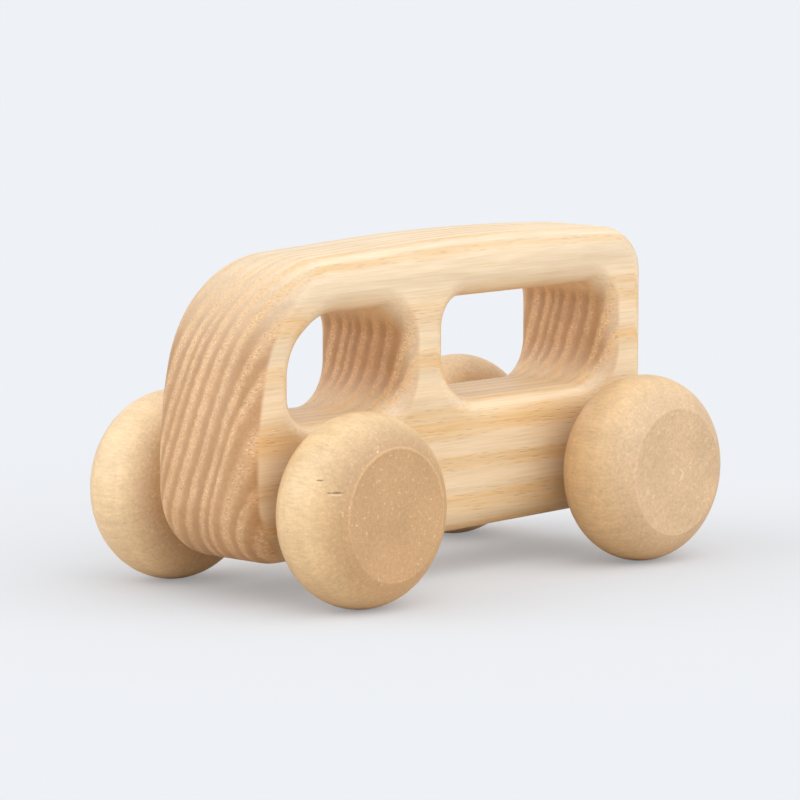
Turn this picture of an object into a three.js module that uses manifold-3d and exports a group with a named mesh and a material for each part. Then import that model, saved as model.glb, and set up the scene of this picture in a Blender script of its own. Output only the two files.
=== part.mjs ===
// Wooden toy van: a thick board body with two windows cut right through, on two turning wheelsets.
// Millimetres. +X points to the nose, +Y to the left side and +Z up.
// The origin is on the ground, midway between the axles.

import * as THREE from 'three';
import { mergeVertices } from 'three/addons/utils/BufferGeometryUtils.js';
import Module from 'manifold-3d';

// Wheels, turned with a bulging rim and flat faces
const WHEEL_RADIUS = 20;
const RIM_ROUND = 10.75;
const OUTER_FACE_RADIUS = 13.6;
const INNER_FACE_RADIUS = 10.5;
const SOCKET_DEPTH = 12;

// Axle dowels, glued into blind wheel sockets and free to turn in the body
const WHEELBASE = 86;
const AXLE_RADIUS = 4;
const AXLE_CHAMFER = 0.8;
const GLUE_GAP = 0.3;
const RUNNING_CLEARANCE = 0.3;
const WHEEL_TO_BODY_GAP = 3.3;

// Body board
const BODY_WIDTH = 27;
const EDGE_ROUND = 5.8;
const WINDOW_EDGE_ROUND = 4.9;

// Body outline: lengths along the car, and heights measured from the axle line
const NOSE_OVERHANG = 20.9;
const TAIL_OVERHANG = 18.1;
const CHIN_SETBACK = 1.1;
const CHIN_DROP = 12.5;
const TAIL_DROP = 10.2;
const NOSE_HEIGHT = 16;
const BROW_SETBACK = 7.8;
const BROW_HEIGHT = 48.5;
const ROOF_PEAK_SETBACK = 82;
const ROOF_PEAK_HEIGHT = 52;
const TAIL_HEIGHT = 49.6;
const CHIN_ROUND = 14.5;
const NOSE_ROUND = 92;
const BROW_ROUND = 27;
const ROOF_ROUND = 600;
const TAIL_TOP_ROUND = 9.9;
const TAIL_LOW_ROUND = 8;

// Windows: the wood left around them, and their corner rounds
const FRONT_POST = 16.4;
const REAR_POST = 14.3;
const MIDDLE_POST = 13.7;
const MIDDLE_POST_SETBACK = 54.9;
const FRONT_RAIL = 10.5;
const REAR_RAIL = 11;
const FRONT_SILL_HEIGHT = 16.1;
const REAR_SILL_HEIGHT = 16.9;
const SCREEN_DROP = 7;
const SCREEN_RUN = 9.4;
const FRONT_WINDOW_ROUNDS = { sillFront: 6.2, screenLow: 10.3, screenTop: 14, headRear: 7, sillRear: 8.9 };
const REAR_WINDOW_ROUNDS = { sillFront: 10.3, headFront: 6.1, headRear: 5.4, sillRear: 7.8 };

// Woods
const ASH = { color: '#e2c495', roughness: 0.55, metalness: 0 };
const BIRCH = { color: '#e3c795', roughness: 0.55, metalness: 0 };
const BEECH = { color: '#d9b988', roughness: 0.6, metalness: 0 };

// Share of a side's free length that a corner round may take up
const SIDE_SHARE = 0.98;

// Facets
const WHEEL_SIDES = 40;
const RIM_STEPS = 11;
const AXLE_SIDES = 32;
const CORNER_STEPS = 4;
const EDGE_STEPS = 4;

// Places that follow from the sizes above
const noseX = WHEELBASE / 2 + NOSE_OVERHANG;
const tailX = -WHEELBASE / 2 - TAIL_OVERHANG;
const middlePostX = noseX - MIDDLE_POST_SETBACK;
const halfBody = BODY_WIDTH / 2;
const innerFaceY = halfBody + WHEEL_TO_BODY_GAP;
const innerHalfWidth = rimHalfWidth(INNER_FACE_RADIUS);
const outerHalfWidth = rimHalfWidth(OUTER_FACE_RADIUS);
const wheelY = innerFaceY + innerHalfWidth;
const axleHalfLength = innerFaceY + SOCKET_DEPTH - GLUE_GAP;

const wasm = await Module();
wasm.setup();

// Distance from a wheel's mid-plane to the place where its rim curve has this radius
function rimHalfWidth(radius) {
  const rise = radius - (WHEEL_RADIUS - RIM_ROUND);
  return Math.sqrt(RIM_ROUND ** 2 - rise ** 2);
}

function solidFrom(geometry) {
  const bare = geometry.clone();
  bare.deleteAttribute('normal');
  bare.deleteAttribute('uv');
  const merged = mergeVertices(bare);
  return new wasm.Manifold(new wasm.Mesh({
    numProp: 3,
    vertProperties: new Float32Array(merged.attributes.position.array),
    triVerts: new Uint32Array(merged.index.array),
  }));
}

function geometryFrom(solid) {
  const mesh = solid.getMesh();
  const geometry = new THREE.BufferGeometry();
  geometry.setAttribute('position', new THREE.BufferAttribute(mesh.vertProperties, 3));
  geometry.setIndex(new THREE.BufferAttribute(mesh.triVerts, 1));
  geometry.computeVertexNormals();
  return geometry;
}

// Length of a side that one round may take, beside a round of this reach at the side's other end
function roomOnSide(length, otherReach) {
  return SIDE_SHARE * Math.max(length / 2, length - otherReach);
}

// Closes a path round the corners [x, height, round], each rounded by an arc tangent to both its sides.
// A round too long for a side is made smaller to fit it.
function drawRounded(path, corners) {
  const points = corners.map(([x, height]) => new THREE.Vector2(x, height));
  const bends = corners.map(([, , round], i) => {
    const back = points.at(i - 1).clone().sub(points[i]);
    const ahead = points[(i + 1) % points.length].clone().sub(points[i]);
    const halfAngle = back.angleTo(ahead) / 2;
    return { back, ahead, halfAngle, reach: round / Math.tan(halfAngle) };
  });
  bends.forEach(({ back, ahead, halfAngle, reach }, i) => {
    const fitted = Math.min(
      reach,
      roomOnSide(back.length(), bends.at(i - 1).reach),
      roomOnSide(ahead.length(), bends[(i + 1) % bends.length].reach),
    );
    const radius = fitted * Math.tan(halfAngle);
    const toStart = back.clone().setLength(fitted);
    const toEnd = ahead.clone().setLength(fitted);
    const toCentre = toStart.clone().add(toEnd).setLength(radius / Math.sin(halfAngle));
    const centre = points[i].clone().add(toCentre);
    const startAngle = toStart.sub(toCentre).angle();
    const endAngle = toEnd.sub(toCentre).angle();
    const bendsInwards = back.cross(ahead) > 0;
    path.absarc(centre.x, centre.y, radius, startAngle, endAngle, bendsInwards);
  });
  path.closePath();
  return path;
}

function bodyOutline() {
  return drawRounded(new THREE.Shape(), [
    [noseX - CHIN_SETBACK, -CHIN_DROP, CHIN_ROUND],
    [noseX, NOSE_HEIGHT, NOSE_ROUND],
    [noseX - BROW_SETBACK, BROW_HEIGHT, BROW_ROUND],
    [noseX - ROOF_PEAK_SETBACK, ROOF_PEAK_HEIGHT, ROOF_ROUND],
    [tailX, TAIL_HEIGHT, TAIL_TOP_ROUND],
    [tailX, -TAIL_DROP, TAIL_LOW_ROUND],
  ]);
}

// The front window's upper front corner is cut off in line with the brow.
function frontWindow() {
  const front = noseX - FRONT_POST;
  const rear = middlePostX + MIDDLE_POST / 2;
  const head = BROW_HEIGHT - FRONT_RAIL;
  const rounds = FRONT_WINDOW_ROUNDS;
  return drawRounded(new THREE.Path(), [
    [front, FRONT_SILL_HEIGHT, rounds.sillFront],
    [front, head - SCREEN_DROP, rounds.screenLow],
    [front - SCREEN_RUN, head, rounds.screenTop],
    [rear, head, rounds.headRear],
    [rear, FRONT_SILL_HEIGHT, rounds.sillRear],
  ]);
}

function rearWindow() {
  const front = middlePostX - MIDDLE_POST / 2;
  const rear = tailX + REAR_POST;
  const head = TAIL_HEIGHT - REAR_RAIL;
  const rounds = REAR_WINDOW_ROUNDS;
  return drawRounded(new THREE.Path(), [
    [front, REAR_SILL_HEIGHT, rounds.sillFront],
    [front, head, rounds.headFront],
    [rear, head, rounds.headRear],
    [rear, REAR_SILL_HEIGHT, rounds.sillRear],
  ]);
}

// A board of the body's width standing on its edge, with its outline's edges and holes rounded over
function roundedBoard(outline, round) {
  const board = new THREE.ExtrudeGeometry(outline, {
    depth: BODY_WIDTH - 2 * round,
    bevelSize: round,
    bevelThickness: round,
    bevelOffset: -round,
    bevelSegments: EDGE_STEPS,
    curveSegments: CORNER_STEPS,
  });
  board.translate(0, 0, round - halfBody);
  board.rotateX(Math.PI / 2);
  return solidFrom(board);
}

// A sheet larger than the body all round, so that only its windows count when the two are intersected
function windowedSheet() {
  const margin = BODY_WIDTH;
  const front = noseX + margin;
  const rear = tailX - margin;
  const top = Math.max(BROW_HEIGHT, ROOF_PEAK_HEIGHT, TAIL_HEIGHT) + margin;
  const bottom = -Math.max(CHIN_DROP, TAIL_DROP) - margin;
  const sheet = new THREE.Shape([
    new THREE.Vector2(rear, bottom),
    new THREE.Vector2(front, bottom),
    new THREE.Vector2(front, top),
    new THREE.Vector2(rear, top),
  ]);
  sheet.holes.push(frontWindow(), rearWindow());
  return roundedBoard(sheet, WINDOW_EDGE_ROUND);
}

function axleBore(x) {
  const radius = AXLE_RADIUS + RUNNING_CLEARANCE;
  const drill = new THREE.CylinderGeometry(radius, radius, 2 * BODY_WIDTH, AXLE_SIDES);
  drill.translate(x, 0, 0);
  return solidFrom(drill);
}

function bodyGeometry() {
  const solid = roundedBoard(bodyOutline(), EDGE_ROUND)
    .intersect(windowedSheet())
    .subtract(axleBore(WHEELBASE / 2))
    .subtract(axleBore(-WHEELBASE / 2));
  return geometryFrom(solid);
}

function axleGeometry() {
  const endRadius = AXLE_RADIUS - AXLE_CHAMFER;
  const shoulder = axleHalfLength - AXLE_CHAMFER;
  const profile = [
    new THREE.Vector2(0, -axleHalfLength),
    new THREE.Vector2(endRadius, -axleHalfLength),
    new THREE.Vector2(AXLE_RADIUS, -shoulder),
    new THREE.Vector2(AXLE_RADIUS, shoulder),
    new THREE.Vector2(endRadius, axleHalfLength),
    new THREE.Vector2(0, axleHalfLength),
  ];
  return new THREE.LatheGeometry(profile, AXLE_SIDES);
}

// Profile from the socket's end, out over the inner face and the rim, to the middle of the outer face.
// Half a facet of turn puts a flat facet, not an edge, on the ground.
function wheelGeometry() {
  const rimCentre = WHEEL_RADIUS - RIM_ROUND;
  const socketRadius = AXLE_RADIUS + GLUE_GAP;
  const socketEnd = SOCKET_DEPTH - innerHalfWidth;
  const fromAngle = Math.atan2(-innerHalfWidth, INNER_FACE_RADIUS - rimCentre);
  const toAngle = Math.atan2(outerHalfWidth, OUTER_FACE_RADIUS - rimCentre);
  const profile = [
    new THREE.Vector2(0, socketEnd),
    new THREE.Vector2(socketRadius, socketEnd),
    new THREE.Vector2(socketRadius, -innerHalfWidth),
  ];
  for (let step = 0; step <= RIM_STEPS; step += 1) {
    const angle = fromAngle + (toAngle - fromAngle) * step / RIM_STEPS;
    profile.push(new THREE.Vector2(rimCentre + RIM_ROUND * Math.cos(angle), RIM_ROUND * Math.sin(angle)));
  }
  profile.push(new THREE.Vector2(0, outerHalfWidth));
  return new THREE.LatheGeometry(profile, WHEEL_SIDES, Math.PI / WHEEL_SIDES);
}

function namedMesh(name, geometry, wood) {
  const mesh = new THREE.Mesh(geometry, new THREE.MeshStandardMaterial(wood));
  mesh.name = name;
  return mesh;
}

function wheel(name, side) {
  const mesh = namedMesh(name, wheelGeometry(), BIRCH);
  mesh.position.y = side * wheelY;
  mesh.rotation.z = side > 0 ? 0 : Math.PI;
  return mesh;
}

// Two wheels glued on one dowel, which turn together
function wheelset(end, direction) {
  const group = new THREE.Group();
  group.position.set(direction * WHEELBASE / 2, 0, WHEEL_RADIUS);
  group.add(namedMesh(`${end}_axle`, axleGeometry(), BEECH));
  group.add(wheel(`${end}_left_wheel`, 1));
  group.add(wheel(`${end}_right_wheel`, -1));
  return group;
}

const body = namedMesh('car_body', bodyGeometry(), ASH);
body.position.z = WHEEL_RADIUS;

const car = new THREE.Group();
car.add(body);
car.add(wheelset('front', 1));
car.add(wheelset('rear', -1));

export default car;
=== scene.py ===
"""Looks of the wooden toy van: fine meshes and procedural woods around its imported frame.

Metres, in the frame's own axes: +X to the nose, +Y to the car's left side, +Z up, the ground at zero.
Inside a material, places on the wood are in millimetres.
"""

import math

import bpy
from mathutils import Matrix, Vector
from mathutils.geometry import tessellate_polygon


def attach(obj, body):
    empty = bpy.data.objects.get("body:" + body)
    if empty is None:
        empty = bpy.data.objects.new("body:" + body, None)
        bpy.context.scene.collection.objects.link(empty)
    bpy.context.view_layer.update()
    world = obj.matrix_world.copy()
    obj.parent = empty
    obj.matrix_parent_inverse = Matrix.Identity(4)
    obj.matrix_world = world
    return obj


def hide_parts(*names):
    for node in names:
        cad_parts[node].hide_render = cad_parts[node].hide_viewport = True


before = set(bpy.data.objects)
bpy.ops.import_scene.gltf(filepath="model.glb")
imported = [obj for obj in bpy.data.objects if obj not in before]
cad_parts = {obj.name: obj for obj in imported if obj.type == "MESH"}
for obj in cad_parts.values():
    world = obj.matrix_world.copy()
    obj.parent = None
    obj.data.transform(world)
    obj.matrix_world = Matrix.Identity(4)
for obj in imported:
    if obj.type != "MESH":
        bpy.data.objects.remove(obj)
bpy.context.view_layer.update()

MM = 0.001

# Wheels, turned with a bulging rim and flat faces
WHEEL_RADIUS = 20 * MM
RIM_ROUND = 10.75 * MM
OUTER_FACE_RADIUS = 13.6 * MM
INNER_FACE_RADIUS = 10.5 * MM
OUTER_EDGE_EASE = 0.35 * MM
INNER_EDGE_EASE = 1 * MM
SOCKET_DEPTH = 12 * MM

# Axle dowels, glued into the wheels' sockets, and the bores they turn in
AXLE_X = 43 * MM
AXLE_RADIUS = 4 * MM
AXLE_CHAMFER = 0.8 * MM
GLUE_GAP = 0.3 * MM
RUNNING_CLEARANCE = 0.3 * MM
BORE_EASE = 0.4 * MM

# Body board: corners are (x, height above the ground, round), anticlockwise seen from the right side
HALF_BODY = 13.5 * MM
WHEEL_TO_BODY_GAP = 3.3 * MM
EDGE_ROUND = 5.8 * MM
WINDOW_EDGE_ROUND = 4.9 * MM
BODY_CORNERS = [
    (62.8 * MM, 7.5 * MM, 14.5 * MM),
    (63.9 * MM, 36 * MM, 92 * MM),
    (56.1 * MM, 68.5 * MM, 27 * MM),
    (-18.1 * MM, 72 * MM, 600 * MM),
    (-61.1 * MM, 69.6 * MM, 9.9 * MM),
    (-61.1 * MM, 9.8 * MM, 8 * MM),
]
FRONT_WINDOW_CORNERS = [
    (47.5 * MM, 36.1 * MM, 6.2 * MM),
    (47.5 * MM, 51 * MM, 10.3 * MM),
    (38.1 * MM, 58 * MM, 14 * MM),
    (15.85 * MM, 58 * MM, 7 * MM),
    (15.85 * MM, 36.1 * MM, 8.9 * MM),
]
REAR_WINDOW_CORNERS = [
    (2.15 * MM, 36.9 * MM, 10.3 * MM),
    (2.15 * MM, 58.6 * MM, 6.1 * MM),
    (-46.8 * MM, 58.6 * MM, 5.4 * MM),
    (-46.8 * MM, 36.9 * MM, 7.8 * MM),
]

# Sizes that follow from those above
SOCKET_RADIUS = AXLE_RADIUS + GLUE_GAP
BORE_RADIUS = AXLE_RADIUS + RUNNING_CLEARANCE
INNER_FACE_Y = HALF_BODY + WHEEL_TO_BODY_GAP
AXLE_HALF_LENGTH = INNER_FACE_Y + SOCKET_DEPTH - GLUE_GAP

# Fineness of the meshes
ARC_STEP_LENGTH = 2.5 * MM
ARC_STEP_ANGLE = math.radians(4)
EDGE_STEPS = 12
EASE_STEPS = 4
RIM_STEPS = 44
WHEEL_SIDES = 160
AXLE_SIDES = 64
BORE_SIDES = 64

# Camera, from the photograph
CAMERA_TURN = math.radians(46.21)
CAMERA_RISE = math.radians(7.58)
CAMERA_DISTANCE = 984.4 * MM
CAMERA_TARGET = Vector((0, 0, 30 * MM))
CAMERA_AIM_RIGHT = -2.37 * MM
CAMERA_AIM_UP = 6.05 * MM
CAMERA_LENS = 209.3
CAMERA_SENSOR = 36

# Floor: the camera sees its own colour and a faint glow, and the wood gets a warmer bounce from it
FLOOR_HALF_SIZE = 8
FLOOR_DROP = 0.05 * MM
FLOOR_COLOR = (0.476, 0.485, 0.502, 1)
FLOOR_GLOW = (0.254, 0.261, 0.271, 1)
FLOOR_BOUNCE = (0.64, 0.585, 0.525, 1)

# Room, backdrop and soft lights: the way to each light, the angle it fills and its strength
ROOM_COLOR = (0.98, 0.99, 1, 1)
ROOM_LIGHT = 0.72
BACKDROP_COLOR = (0.855, 0.874, 0.92, 1)
SOFT_LIGHTS = {
    "fill": ((-0.1, 0.8, 0.75), math.radians(90), 1.35),
    "left": ((0.78, -0.5, 0.5), math.radians(60), 0.95),
    "top": ((0, 0, 1), math.radians(120), 0.4),
}

# Depth of each wood's bump, and how strongly its oil shines
ASH_RELIEF = 0.04 * MM
WHEEL_RELIEF = 0.03 * MM
DOWEL_RELIEF = 0.04 * MM
OIL_SHINE = {"Specular IOR Level": 0.8}

# Ash. Lengths are in millimetres: the rings curve round the pith, and wander by sway, ripple and drift.
# The nose's full end grain comes in over a stretch of length, and the long grain has a painted highlight,
# paler with height.
ASH_NOSE_START = 44
ASH_NOSE_FULL = 50
ASH_TOP_LIGHT_FROM = 28
ASH_TOP_LIGHT_TO = 66
ASH_PITH = (0, -253.5, 118.2)
ASH_FIRST_RING = 259.2
ASH_RING_PITCH = 3.19
ASH_SWAY = 1.8
ASH_RIPPLE = 1.0
ASH_DRIFT = 2.6
ASH_DRIFT_FINENESS = 0.13
EARLY_WOOD = [(0, 0.1), (0.1, 0.6), (0.2, 1), (0.46, 0.85), (0.68, 0.16), (0.9, 0), (1, 0.1)]
ASH_END_LATE = (0.505, 0.277, 0.124, 1)
ASH_END_EARLY = (0.75, 0.475, 0.25, 1)
ASH_END_PALE_SPECK = (0.93, 0.73, 0.50, 1)
ASH_LONG_LATE = (0.835, 0.65, 0.43, 1)
ASH_LONG_PAINTED_TOP_LIGHT = (0.845, 0.675, 0.47, 1)
ASH_LONG_EARLY = (0.76, 0.485, 0.21, 1)
ASH_PORE = (0.40, 0.20, 0.08, 1)
ASH_FIBRE_DARK = (0.94, 0.90, 0.82, 1)
ASH_FIBRE_LIGHT = (1.05, 1.08, 1.14, 1)

# Wheel wood. Lengths and places are in millimetres from the wheel's centre: shift moves its grain, pith
# is its rings' middle, a nick is (y, z, half length, half width), and a lathe mark is an arc around its
# place. The outer edge is painted paler by each wheel's edge highlight amount: a painted highlight,
# strongest towards the top. A nick is NICK_DEPTH times the relief deep, and the painted highlight on its
# lip lies NICK_LIP_DROP half widths below it. Fineness is in waves to the millimetre.
WHEEL_RING_PITCH = 3.4
WHEEL_SWAY = 2.5
WHEEL_RIPPLE = 0.6
TOOL_MARK_FINENESS = 2.2
LATHE_MARK_RADIUS = 0.9
NICK_DEPTH = 4
NICK_LIP_DROP = 1.6
LATE_LINE = [(0, 0.2), (0.2, 0), (0.6, 0.45), (0.9, 1), (1, 0.2)]
WHEEL_LATE = (0.52, 0.31, 0.14, 1)
WHEEL_FLECK = (0.86, 0.67, 0.42, 1)
WHEEL_NICK = (0.27, 0.14, 0.065, 1)
WHEEL_WOODS = {
    "front_left_wheel": {
        "shift": (0, 0, 0),
        "pith": (-40, 0, 30),
        "long_grain": (0.80, 0.572, 0.316, 1),
        "end_face": (0.56, 0.34, 0.163, 1),
        "edge_highlight_amount": 0.24,
        "nicks": [(4.9, 8.35, 0.85, 0.19), (7.85, 6.0, 1.25, 0.25)],
    },
    "front_right_wheel": {
        "shift": (31, 7, 12),
        "pith": (35, 0, 25),
        "long_grain": (0.86, 0.63, 0.37, 1),
        "end_face": (0.60, 0.38, 0.20, 1),
        "edge_highlight_amount": 0.15,
    },
    # This wheel's darker long grain is partly darker wood and partly painted shade from the body beside it
    "rear_left_wheel": {
        "shift": (-23, 15, 44),
        "pith": (30, 0, 38),
        "long_grain": (0.77, 0.53, 0.285, 1),
        "end_face": (0.66, 0.46, 0.275, 1),
        "edge_highlight_amount": 0.06,
        "lathe_mark": (-0.9, 9.83, -0.55),
    },
    "rear_right_wheel": {
        "shift": (57, -19, 8),
        "pith": (-28, 0, -41),
        "long_grain": (0.82, 0.58, 0.33, 1),
        "end_face": (0.62, 0.40, 0.21, 1),
        "edge_highlight_amount": 0.15,
    },
}

# Dowel wood
DOWEL_LONG = (0.66, 0.45, 0.25, 1)
DOWEL_END = (0.48, 0.30, 0.16, 1)
DOWEL_PORE = (0.30, 0.16, 0.07, 1)


class Shell:
    """The points, faces and corner normals of one closed surface."""

    def __init__(self):
        self.points = []
        self.faces = []
        self.corner_normals = []

    def row(self, points):
        first = len(self.points)
        self.points.extend(points)
        return range(first, len(self.points))

    def face(self, corners, normals):
        """Adds a face, turned so that it looks the way of its normals."""
        a, b, c = (self.points[i] for i in corners[:3])
        if (b - a).cross(c - a).dot(normals[0] + normals[1] + normals[2]) < 0:
            corners = corners[::-1]
            normals = normals[::-1]
        self.faces.append(corners)
        self.corner_normals.extend(normals)

    def band(self, row, normals, next_row, next_normals):
        """Joins two closed rows of equal count, or a row and a single point."""
        count = max(len(row), len(next_row))
        for i in range(count):
            j = (i + 1) % count
            if len(row) == 1:
                ends = [
                    (row[0], normals[i]),
                    (next_row[j], next_normals[j]),
                    (next_row[i], next_normals[i]),
                ]
            elif len(next_row) == 1:
                ends = [(row[i], normals[i]), (row[j], normals[j]), (next_row[0], next_normals[i])]
            else:
                ends = [
                    (row[i], normals[i]),
                    (row[j], normals[j]),
                    (next_row[j], next_normals[j]),
                    (next_row[i], next_normals[i]),
                ]
            self.face([corner for corner, _ in ends], [normal for _, normal in ends])

    def make(self, name):
        mesh = bpy.data.meshes.new(name)
        mesh.from_pydata(self.points, [], self.faces)
        mesh.shade_smooth()
        mesh.normals_split_custom_set(self.corner_normals)
        piece = bpy.data.objects.new(name, mesh)
        bpy.context.scene.collection.objects.link(piece)
        return piece


def rounded_outline(corners):
    """(place, outward normal) pairs round an outline, each corner an arc tangent to both its sides."""
    outline = []
    for i, (x, z, radius) in enumerate(corners):
        corner = Vector((x, z))
        back = (Vector(corners[i - 1][:2]) - corner).normalized()
        ahead = (Vector(corners[(i + 1) % len(corners)][:2]) - corner).normalized()
        half_angle = back.angle(ahead) / 2
        centre = corner + (back + ahead).normalized() * (radius / math.sin(half_angle))
        first = corner + back * (radius / math.tan(half_angle)) - centre
        start = math.atan2(first.y, first.x)
        sweep = math.pi - 2 * half_angle
        steps = math.ceil(max(sweep / ARC_STEP_ANGLE, sweep * radius / ARC_STEP_LENGTH))
        for step in range(steps + 1):
            angle = start + sweep * step / steps
            normal = Vector((math.cos(angle), math.sin(angle)))
            outline.append((centre + normal * radius, normal))
    return outline


def circle_outline(x, z, radius, sides):
    outline = []
    for side in range(sides):
        angle = math.tau * side / sides
        normal = Vector((math.cos(angle), math.sin(angle)))
        outline.append((Vector((x, z)) + normal * radius, normal))
    return outline


def through_wall(shell, outline, edge_round, steps):
    """Lofts an outline from one side face to the other with rounded edges.

    Returns the rows on the right and left faces. The outline's normals point out of the wood.
    """
    angles = [math.pi / 2 * (step / steps - 1) for step in range(steps + 1)]
    places = [(angle, edge_round - HALF_BODY) for angle in angles]
    places += [(-angle, HALF_BODY - edge_round) for angle in reversed(angles)]
    rows = []
    for angle, shoulder in places:
        inset = edge_round * (1 - math.cos(angle))
        y = shoulder + edge_round * math.sin(angle)
        points = [Vector((p.x - n.x * inset, y, p.y - n.y * inset)) for p, n in outline]
        normals = [
            Vector((n.x * math.cos(angle), math.sin(angle), n.y * math.cos(angle))) for _, n in outline
        ]
        rows.append((shell.row(points), normals))
    for (row, normals), (next_row, next_normals) in zip(rows, rows[1:]):
        shell.band(row, normals, next_row, next_normals)
    return rows[0][0], rows[-1][0]


def hole(outline):
    """The same outline with its normals turned round, out of the wood and into the hole."""
    return [(place, -normal) for place, normal in outline]


def body_mesh():
    shell = Shell()
    walls = [
        through_wall(shell, rounded_outline(BODY_CORNERS), EDGE_ROUND, EDGE_STEPS),
        through_wall(shell, hole(rounded_outline(FRONT_WINDOW_CORNERS)), WINDOW_EDGE_ROUND, EDGE_STEPS),
        through_wall(shell, hole(rounded_outline(REAR_WINDOW_CORNERS)), WINDOW_EDGE_ROUND, EDGE_STEPS),
    ]
    for x in (AXLE_X, -AXLE_X):
        bore = circle_outline(x, WHEEL_RADIUS, BORE_RADIUS, BORE_SIDES)
        walls.append(through_wall(shell, hole(bore), BORE_EASE, EASE_STEPS))
    for side, outward in ((0, -1), (1, 1)):
        loops = [wall[side] for wall in walls]
        corners = [i for loop in loops for i in loop]
        flat_loops = [[Vector((shell.points[i].x, shell.points[i].z, 0)) for i in loop] for loop in loops]
        for triangle in tessellate_polygon(flat_loops):
            shell.face([corners[i] for i in triangle], [Vector((0, outward, 0))] * 3)
    return shell.make("wood_body")


def arc_profile(radius_centre, y_centre, radius, start, end, steps):
    """(radius, y, normal's radial part, normal's y part) along an arc of a turned profile."""
    profile = []
    for step in range(steps + 1):
        angle = start + (end - start) * step / steps
        out, across = math.cos(angle), math.sin(angle)
        profile.append((radius_centre + radius * out, y_centre + radius * across, out, across))
    return profile


def line_profile(start, end, normal):
    return [(*start, *normal), (*end, *normal)]


def turned(name, strokes, sides, centre):
    """Turns a profile about the Y axis. Each stroke starts where the last ended, with its own normals."""
    shell = Shell()
    turns = [math.tau * side / sides for side in range(sides)]

    def ring(radius, y):
        if radius == 0:
            return shell.row([Vector((0, y, 0))])
        return shell.row([Vector((radius * math.sin(t), y, radius * math.cos(t))) for t in turns])

    def ring_normals(out, across):
        return [Vector((out * math.sin(t), across, out * math.cos(t))) for t in turns]

    last_row = ring(*strokes[0][0][:2])
    for stroke in strokes:
        for here, there in zip(stroke, stroke[1:]):
            next_row = ring(*there[:2])
            shell.band(last_row, ring_normals(*here[2:]), next_row, ring_normals(*there[2:]))
            last_row = next_row
    piece = shell.make(name)
    piece.location = centre
    return piece


def rim_half_width(radius):
    """Distance from a wheel's mid-plane to the place where its rim curve has this radius."""
    return math.sqrt(RIM_ROUND**2 - (radius - WHEEL_RADIUS + RIM_ROUND) ** 2)


def eased_corner(face_y, ease):
    """Centre and rim angle of the small arc that eases the edge between a wheel's rim and a flat face."""
    y = face_y - math.copysign(ease, face_y)
    out = math.sqrt((RIM_ROUND - ease) ** 2 - y**2)
    return WHEEL_RADIUS - RIM_ROUND + out, y, math.atan2(y, out)


def wheel_mesh(name, x, side):
    """A wheel whose outer face looks to the car's left for side 1 and to its right for side -1."""
    inner = -rim_half_width(INNER_FACE_RADIUS)
    outer = rim_half_width(OUTER_FACE_RADIUS)
    socket_end = inner + SOCKET_DEPTH
    inner_radius, inner_y, inner_angle = eased_corner(inner, INNER_EDGE_EASE)
    outer_radius, outer_y, outer_angle = eased_corner(outer, OUTER_EDGE_EASE)
    right_angle = math.pi / 2
    strokes = [
        line_profile((0, socket_end), (SOCKET_RADIUS, socket_end), (0, -1)),
        line_profile((SOCKET_RADIUS, socket_end), (SOCKET_RADIUS, inner), (-1, 0)),
        line_profile((SOCKET_RADIUS, inner), (inner_radius, inner), (0, -1)),
        arc_profile(inner_radius, inner_y, INNER_EDGE_EASE, -right_angle, inner_angle, EASE_STEPS),
        arc_profile(WHEEL_RADIUS - RIM_ROUND, 0, RIM_ROUND, inner_angle, outer_angle, RIM_STEPS),
        arc_profile(outer_radius, outer_y, OUTER_EDGE_EASE, outer_angle, right_angle, EASE_STEPS),
        line_profile((outer_radius, outer), (0, outer), (0, 1)),
    ]
    if side < 0:
        strokes = [[(r, -y, out, -across) for r, y, out, across in stroke] for stroke in strokes]
    centre = Vector((x, side * (INNER_FACE_Y - inner), WHEEL_RADIUS))
    return turned(name, strokes, WHEEL_SIDES, centre)


def axle_mesh(name, x):
    end, shoulder = AXLE_HALF_LENGTH, AXLE_HALF_LENGTH - AXLE_CHAMFER
    tip = AXLE_RADIUS - AXLE_CHAMFER
    slope = math.sqrt(0.5)
    strokes = [
        line_profile((0, -end), (tip, -end), (0, -1)),
        line_profile((tip, -end), (AXLE_RADIUS, -shoulder), (slope, -slope)),
        line_profile((AXLE_RADIUS, -shoulder), (AXLE_RADIUS, shoulder), (1, 0)),
        line_profile((AXLE_RADIUS, shoulder), (tip, end), (slope, slope)),
        line_profile((tip, end), (0, end), (0, 1)),
    ]
    return turned(name, strokes, AXLE_SIDES, Vector((x, 0, WHEEL_RADIUS)))


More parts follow.
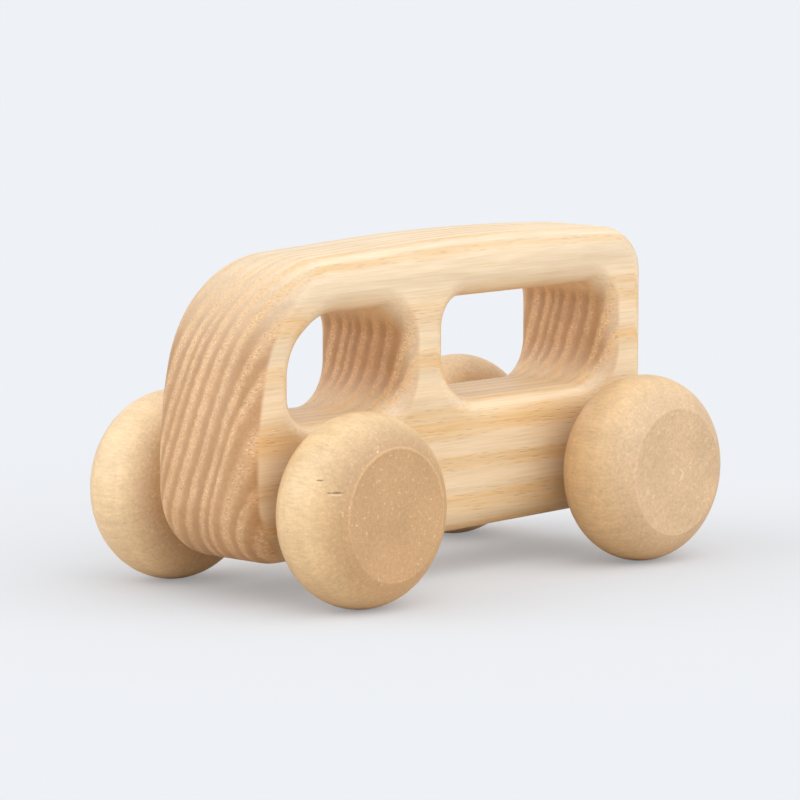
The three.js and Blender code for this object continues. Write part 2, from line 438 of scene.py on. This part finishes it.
class Graph:
    """Builds one material's nodes with short calls, each of which returns an output socket."""

    def __init__(self, name):
        self.material = bpy.data.materials.new(name)
        self.material.use_nodes = True
        self.tree = self.material.node_tree
        self.tree.nodes.clear()

    def add(self, kind, inputs, output=0, **settings):
        node = self.tree.nodes.new("ShaderNode" + kind)
        for key, value in settings.items():
            setattr(node, key, value)
        for key, value in inputs.items():
            if isinstance(value, bpy.types.NodeSocket):
                self.tree.links.new(value, node.inputs[key])
            else:
                node.inputs[key].default_value = value
        return node.outputs[output]

    def math(self, operation, *values):
        return self.add("Math", dict(enumerate(values)), operation=operation)

    def vector(self, operation, *values):
        return self.add("VectorMath", dict(enumerate(values)), operation=operation)

    def length(self, value):
        return self.add("VectorMath", {0: value}, "Value", operation="LENGTH")

    def millimetres(self):
        place = self.add("TexCoord", {}, "Object")
        return self.vector("MULTIPLY", place, (1 / MM, 1 / MM, 1 / MM))

    def normal(self, axis):
        """The part of the surface's normal along an axis, -1 to 1."""
        return self.add("SeparateXYZ", {0: self.add("TexCoord", {}, "Normal")}, axis)

    def facing(self, axis):
        """How squarely the surface faces along an axis, either way, 0 to 1."""
        return self.math("ABSOLUTE", self.normal(axis))

    def noise(self, place, fineness, detail=2.0, roughness=0.5):
        """Noise from 0 to 1; fineness is the count of waves in a millimetre along each axis."""
        stretched = self.vector("MULTIPLY", place, fineness)
        inputs = {"Vector": stretched, "Scale": 1.0, "Detail": detail, "Roughness": roughness}
        return self.add("TexNoise", inputs)

    def line_noise(self, value, fineness, detail):
        """Noise from 0 to 1 along a single value."""
        inputs = {"W": value, "Scale": fineness, "Detail": detail}
        return self.add("TexNoise", inputs, noise_dimensions="1D")

    def specks(self, place, fineness):
        """Distance to the nearest of many scattered points, in speck spacings."""
        stretched = self.vector("MULTIPLY", place, fineness)
        return self.add("TexVoronoi", {"Vector": stretched, "Scale": 1.0}, "Distance")

    def ease(self, value, low, high, to_low=0.0, to_high=1.0):
        """Smooth change from to_low to to_high as value goes from low to high."""
        inputs = {"Value": value, "From Min": low, "From Max": high, "To Min": to_low, "To Max": to_high}
        return self.add("MapRange", inputs, interpolation_type="SMOOTHSTEP")

    def ramp(self, value, stops):
        output = self.add("ValToRGB", {0: value})
        elements = output.node.color_ramp.elements
        for position, level in stops[1:-1]:
            elements.new(position).color = (level, level, level, 1)
        for element, (position, level) in zip((elements[0], elements[-1]), (stops[0], stops[-1])):
            element.position = position
            element.color = (level, level, level, 1)
        return output

    def mix(self, factor, a, b, blend="MIX"):
        """Mixes two colours; 6, 7 and 2 are the Mix node's colour sockets."""
        inputs = {0: factor, 6: a, 7: b}
        return self.add("Mix", inputs, 2, data_type="RGBA", blend_type=blend)

    def scaled(self, color, level):
        """A colour made lighter or darker by a level around 1."""
        return self.add("VectorMath", {0: color, "Scale": level}, operation="SCALE")

    def finish(self, color, roughness, height, depth, **constants):
        bump = self.add("Bump", {"Height": height, "Distance": depth, "Strength": 1.0})
        inputs = {"Base Color": color, "Roughness": roughness, "Normal": bump, **constants}
        return self.surface(self.add("BsdfPrincipled", inputs))

    def surface(self, shader):
        end = self.tree.nodes.new("ShaderNodeOutputMaterial")
        self.tree.links.new(shader, end.inputs["Surface"])
        return self.material


def ring_depth(g, place, axis, pith, sway, ripple):
    """Depth through the growth rings: distance from a pith line along the axis, with some wobble."""
    flat = (0, 1, 1) if axis == "X" else (1, 0, 1)
    depth = g.length(g.vector("SUBTRACT", g.vector("MULTIPLY", place, flat), pith))
    slow = g.noise(place, [0.05 if across else 0.012 for across in flat])
    quick = g.noise(place, [0.9 if across else 0.05 for across in flat], 3)
    depth = g.math("MULTIPLY_ADD", slow, sway, depth)
    return g.math("MULTIPLY_ADD", quick, ripple, depth)


def ash_board():
    """Ring-porous ash, its grain along X: ringed dark end grain on the nose, pale streaks elsewhere."""
    g = Graph("ash_board")
    place = g.millimetres()
    forward = g.normal("X")
    along = g.add("SeparateXYZ", {0: place}, "X")
    height = g.add("SeparateXYZ", {0: place}, "Z")

    # End grain shows where the wood faces the nose or the tail. It is painted paler where the surface
    # leans up, a painted highlight from the light above, and behind the nose it is also paler where the
    # surface leans down
    at_nose = g.ease(along, ASH_NOSE_START, ASH_NOSE_FULL, 0.5, 1)
    squareness = g.ease(forward, 0.45, 0.95, at_nose, 1)
    end_grain = g.math("MULTIPLY", g.ease(forward, 0.03, 0.24), squareness)
    end_grain = g.math("ADD", end_grain, g.ease(forward, -0.4, -0.9))
    upward = g.normal("Z")
    downward = g.math("MULTIPLY", upward, g.ease(along, ASH_NOSE_START, ASH_NOSE_FULL, -1, 0))
    lean = g.math("ARCTAN2", g.math("MAXIMUM", upward, downward), g.facing("X"))
    end_grain = g.math("MULTIPLY", end_grain, g.ease(lean, 0.2, 1.1, 1, 0.3))

    # Growth rings: early is the share of porous early wood, and year a tone for each ring
    depth = ring_depth(g, place, "X", ASH_PITH, ASH_SWAY, ASH_RIPPLE)
    drift = g.line_noise(depth, ASH_DRIFT_FINENESS, 1.0)
    depth = g.math("MULTIPLY_ADD", drift, ASH_DRIFT, depth)
    growth = g.math("DIVIDE", g.math("SUBTRACT", depth, ASH_FIRST_RING), ASH_RING_PITCH)
    year = g.add("TexWhiteNoise", {"W": g.math("FLOOR", growth)}, noise_dimensions="1D")
    early = g.ramp(g.math("FRACT", growth), EARLY_WOOD)

    # Fine grain, drawn out along X: vessel is dark open pores, and fill is pale specks in the early wood
    fibre = g.noise(place, (0.09, 3.0, 3.0), 3, 0.6)
    streak = g.noise(place, (0.022, 0.55, 0.55), 3)
    cloud = g.noise(place, (0.03, 0.06, 0.06))
    patch = g.ease(g.noise(place, (0.02, 0.11, 0.11)), 0.3, 0.65, 0.6, 1)
    early = g.math("MULTIPLY", early, patch)
    vessel = g.ease(g.specks(place, (0.2, 2.0, 2.0)), 0.34, 0.14)
    vessel = g.math("MULTIPLY", vessel, g.ease(early, 0.1, 0.6))
    fill = g.ease(g.specks(place, (0.7, 1.9, 1.9)), 0.45, 0.15)
    fill = g.math("MULTIPLY", fill, g.ease(early, 0.15, 0.9))

    end_color = g.mix(early, ASH_END_LATE, ASH_END_EARLY)
    end_color = g.mix(g.math("MULTIPLY", fill, 0.55), end_color, ASH_END_PALE_SPECK)
    porous = g.math("MULTIPLY", g.math("POWER", early, 1.6), g.ease(streak, 0.3, 0.6, 0.4, 1))
    # The long grain is painted paler with height: a painted highlight standing in for the light from above
    long_color = g.mix(g.ease(height, ASH_TOP_LIGHT_FROM, ASH_TOP_LIGHT_TO), ASH_LONG_LATE, ASH_LONG_PAINTED_TOP_LIGHT)
    long_color = g.mix(porous, long_color, ASH_LONG_EARLY)
    color = g.mix(end_grain, long_color, end_color)
    color = g.mix(g.math("MULTIPLY", vessel, g.ease(end_grain, 0, 1, 0.2, 0.6)), color, ASH_PORE)
    fibre_tint = g.mix(g.ease(fibre, 0.25, 0.75), ASH_FIBRE_DARK, ASH_FIBRE_LIGHT)
    color = g.mix(1.0, color, fibre_tint, "MULTIPLY")

    level = g.ease(streak, 0.25, 0.75, 0.95, 1.05)
    level = g.math("MULTIPLY", level, g.ease(cloud, 0.3, 0.7, 0.97, 1.03))
    level = g.math("MULTIPLY", level, g.ease(year, 0, 1, 0.97, 1.03))
    color = g.scaled(color, level)

    roughness = g.ease(fibre, 0.3, 0.7, 0.42, 0.56)
    relief = g.math("SUBTRACT", g.math("MULTIPLY", fibre, 0.4), vessel)
    return g.finish(color, roughness, relief, ASH_RELIEF, **OIL_SHINE)


def painted_edge_highlight(g, place, radius, cloud, edge_highlight_amount):
    """Lightens the edge of a wheel's outer face with a painted highlight, strongest towards the top."""
    off_edge = g.math("ABSOLUTE", g.math("SUBTRACT", radius, OUTER_FACE_RADIUS / MM))
    height = g.math("MULTIPLY_ADD", cloud, 10, g.add("SeparateXYZ", {0: place}, "Z"))
    amount = g.ease(height, -4, 14, edge_highlight_amount * 0.1, edge_highlight_amount)
    return g.math("MULTIPLY_ADD", g.ease(off_edge, 0.4, 0.1), amount, 1.0)


def nick_mask(g, place, grit, y, z, half_length, half_width):
    """A ragged slit along the grain, on the side of a wheel that looks to the nose."""
    off = g.vector("SUBTRACT", place, (0, y, z))
    off = g.vector("MULTIPLY", off, (0, 1 / half_length, 1 / half_width))
    reach = g.math("MULTIPLY_ADD", g.math("SUBTRACT", grit, 0.5), 2.0, g.length(off))
    ahead = g.math("GREATER_THAN", g.add("SeparateXYZ", {0: place}, "X"), 0)
    return g.math("MULTIPLY", g.ease(reach, 1.0, 0.4), ahead)


def turned_wood(name, shift, pith, long_grain, end_face, edge_highlight_amount, nicks=(), lathe_mark=None):
    """Close-grained wheel wood, its grain along the axle: pale silky rim, darker face with pale flecks."""
    g = Graph(name)
    own_place = g.millimetres()
    place = g.vector("ADD", own_place, shift)
    end_grain = g.ease(g.facing("Y"), 0.3, 0.97)

    depth = ring_depth(g, own_place, "Y", pith, WHEEL_SWAY, WHEEL_RIPPLE)
    ring = g.math("FRACT", g.math("DIVIDE", depth, WHEEL_RING_PITCH))
    late = g.ramp(ring, LATE_LINE)
    fibre = g.noise(place, (2.6, 0.22, 2.6), 3, 0.6)
    dash = g.noise(place, (1.3, 0.3, 1.3), 2)
    cloud = g.noise(place, (0.09, 0.05, 0.09), 2)
    grit = g.noise(place, (1.6, 1.6, 1.6), 4, 0.7)
    fleck = g.ease(g.noise(place, (1.0, 0.7, 1.0), 4, 0.75), 0.59, 0.66)
    tick = g.ease(g.specks(place, (0.8, 0.25, 0.8)), 0.12, 0.05)
    radius = g.length(g.vector("MULTIPLY", own_place, (1, 0, 1)))
    tool_mark = g.line_noise(radius, TOOL_MARK_FINENESS, 2.0)

    color = g.mix(end_grain, long_grain, end_face)
    color = g.mix(g.math("MULTIPLY", late, 0.13), color, WHEEL_LATE)
    color = g.mix(g.math("MULTIPLY", g.math("MULTIPLY", fleck, end_grain), 0.6), color, WHEEL_FLECK)
    color = g.mix(g.math("MULTIPLY", tick, 0.35), color, WHEEL_LATE)

    level = g.ease(fibre, 0.25, 0.75, 0.94, 1.06)
    level = g.math("MULTIPLY", level, g.ease(dash, 0.3, 0.7, 0.95, 1.05))
    level = g.math("MULTIPLY", level, g.ease(grit, 0.3, 0.7, 0.945, 1.055))
    level = g.math("MULTIPLY", level, g.ease(cloud, 0.3, 0.7, 0.94, 1.06))
    level = g.math("MULTIPLY", level, g.ease(tool_mark, 0.3, 0.7, 0.985, 1.015))
    # Painted highlight along the outer face's edge
    level = g.math("MULTIPLY", level, painted_edge_highlight(g, own_place, radius, cloud, edge_highlight_amount))
    color = g.scaled(color, level)

    height = g.math("MULTIPLY_ADD", tool_mark, 0.5, g.math("MULTIPLY", fibre, 0.5))
    for y, z, half_length, half_width in nicks:
        # Each nick's lip gets a painted highlight just below the cut
        lip_z = z - half_width * NICK_LIP_DROP
        lip_highlight = nick_mask(g, own_place, grit, y, lip_z, half_length, half_width)
        cut = nick_mask(g, own_place, grit, y, z, half_length, half_width)
        color = g.mix(g.math("MULTIPLY", lip_highlight, 0.6), color, WHEEL_FLECK)
        color = g.mix(g.math("MULTIPLY", cut, 0.75), color, WHEEL_NICK)
        height = g.math("MULTIPLY_ADD", cut, -NICK_DEPTH, height)

    if lathe_mark:
        off = g.vector("SUBTRACT", own_place, lathe_mark)
        from_arc = g.math("ABSOLUTE", g.math("SUBTRACT", g.length(off), LATHE_MARK_RADIUS))
        band = g.ease(from_arc, 0.45, 0.1)
        mark = g.math("MULTIPLY", band, g.ease(g.add("SeparateXYZ", {0: off}, "X"), 0.2, -0.4))
        color = g.mix(g.math("MULTIPLY", mark, 0.65), color, WHEEL_FLECK)

    roughness = g.ease(fibre, 0.3, 0.7, 0.4, 0.52)
    return g.finish(color, roughness, height, WHEEL_RELIEF, **OIL_SHINE)


def dowel_wood():
    """Plain hardwood rod, its grain along Y."""
    g = Graph("dowel")
    place = g.millimetres()
    fibre = g.noise(place, (2.6, 0.1, 2.6), 3)
    streak = g.noise(place, (0.6, 0.02, 0.6), 2)
    pore = g.ease(g.specks(place, (2.0, 0.35, 2.0)), 0.25, 0.1)
    color = g.mix(g.ease(g.facing("Y"), 0.4, 0.95), DOWEL_LONG, DOWEL_END)
    color = g.mix(g.math("MULTIPLY", pore, 0.3), color, DOWEL_PORE)
    level = g.ease(fibre, 0.25, 0.75, 0.93, 1.07)
    level = g.math("MULTIPLY", level, g.ease(streak, 0.25, 0.75, 0.94, 1.06))
    height = g.math("SUBTRACT", fibre, pore)
    roughness = g.ease(fibre, 0.3, 0.7, 0.55, 0.7)
    return g.finish(g.scaled(color, level), roughness, height, DOWEL_RELIEF)


def dress(piece, material, body, node):
    piece.data.materials.append(material)
    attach(piece, body)
    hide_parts(node)


def make_car():
    dress(body_mesh(), ash_board(), "body", "car_body")
    rod = dowel_wood()
    for end, x in (("front", AXLE_X), ("rear", -AXLE_X)):
        body = end + "_wheelset"
        dress(axle_mesh(f"wood_{end}_axle", x), rod, body, f"{end}_axle")
        for hand, side in (("left", 1), ("right", -1)):
            wheel = f"{end}_{hand}_wheel"
            wood = turned_wood(f"turned_{end}_{hand}", **WHEEL_WOODS[wheel])
            dress(wheel_mesh("wood_" + wheel, x, side), wood, body, wheel)


def make_floor():
    size = FLOOR_HALF_SIZE
    corners = [(-size, -size, 0), (size, -size, 0), (size, size, 0), (-size, size, 0)]
    mesh = bpy.data.meshes.new("floor")
    mesh.from_pydata(corners, [], [(0, 1, 2, 3)])
    floor = bpy.data.objects.new("floor", mesh)
    floor.location.z = -FLOOR_DROP
    bpy.context.scene.collection.objects.link(floor)
    g = Graph("pale_paper")
    seen = g.add("LightPath", {}, "Is Camera Ray")
    shade = g.add("BsdfDiffuse", {"Color": g.mix(seen, FLOOR_BOUNCE, FLOOR_COLOR)})
    glow = g.add("Emission", {"Color": FLOOR_GLOW, "Strength": seen})
    mesh.materials.append(g.surface(g.add("AddShader", {0: shade, 1: glow})))


def make_light():
    """A white room, seen by the camera as the backdrop's own tone, and wide soft lights."""
    world = bpy.data.worlds.new("white_room")
    bpy.context.scene.world = world
    world.use_nodes = True
    nodes, links = world.node_tree.nodes, world.node_tree.links
    nodes.clear()
    room = nodes.new("ShaderNodeBackground")
    room.inputs["Color"].default_value = ROOM_COLOR
    room.inputs["Strength"].default_value = ROOM_LIGHT
    backdrop = nodes.new("ShaderNodeBackground")
    backdrop.inputs["Color"].default_value = BACKDROP_COLOR
    seen = nodes.new("ShaderNodeLightPath").outputs["Is Camera Ray"]
    mix = nodes.new("ShaderNodeMixShader")
    end = nodes.new("ShaderNodeOutputWorld")
    links.new(seen, mix.inputs["Fac"])
    links.new(room.outputs[0], mix.inputs[1])
    links.new(backdrop.outputs[0], mix.inputs[2])
    links.new(mix.outputs[0], end.inputs["Surface"])
    for name, (way, angle, strength) in SOFT_LIGHTS.items():
        lamp = bpy.data.lights.new(name, "SUN")
        lamp.angle = angle
        lamp.energy = strength
        light = bpy.data.objects.new(name, lamp)
        light.rotation_euler = Vector(way).to_track_quat("Z", "Y").to_euler()
        bpy.context.scene.collection.objects.link(light)


def make_camera():
    back = Vector((
        math.sin(CAMERA_TURN) * math.cos(CAMERA_RISE),
        math.cos(CAMERA_TURN) * math.cos(CAMERA_RISE),
        math.sin(CAMERA_RISE),
    ))
    right = Vector((0, 0, 1)).cross(back).normalized()
    up = back.cross(right)
    data = bpy.data.cameras.new("camera")
    data.lens = CAMERA_LENS
    data.sensor_width = CAMERA_SENSOR
    camera = bpy.data.objects.new("camera", data)
    camera.location = CAMERA_TARGET + back * CAMERA_DISTANCE
    aim = CAMERA_TARGET + right * CAMERA_AIM_RIGHT + up * CAMERA_AIM_UP
    camera.rotation_euler = (aim - camera.location).to_track_quat("-Z", "Y").to_euler()
    bpy.context.scene.collection.objects.link(camera)
    bpy.context.scene.camera = camera


make_camera()
make_floor()
make_light()
make_car()
bpy.context.scene.view_settings.view_transform = "Standard"
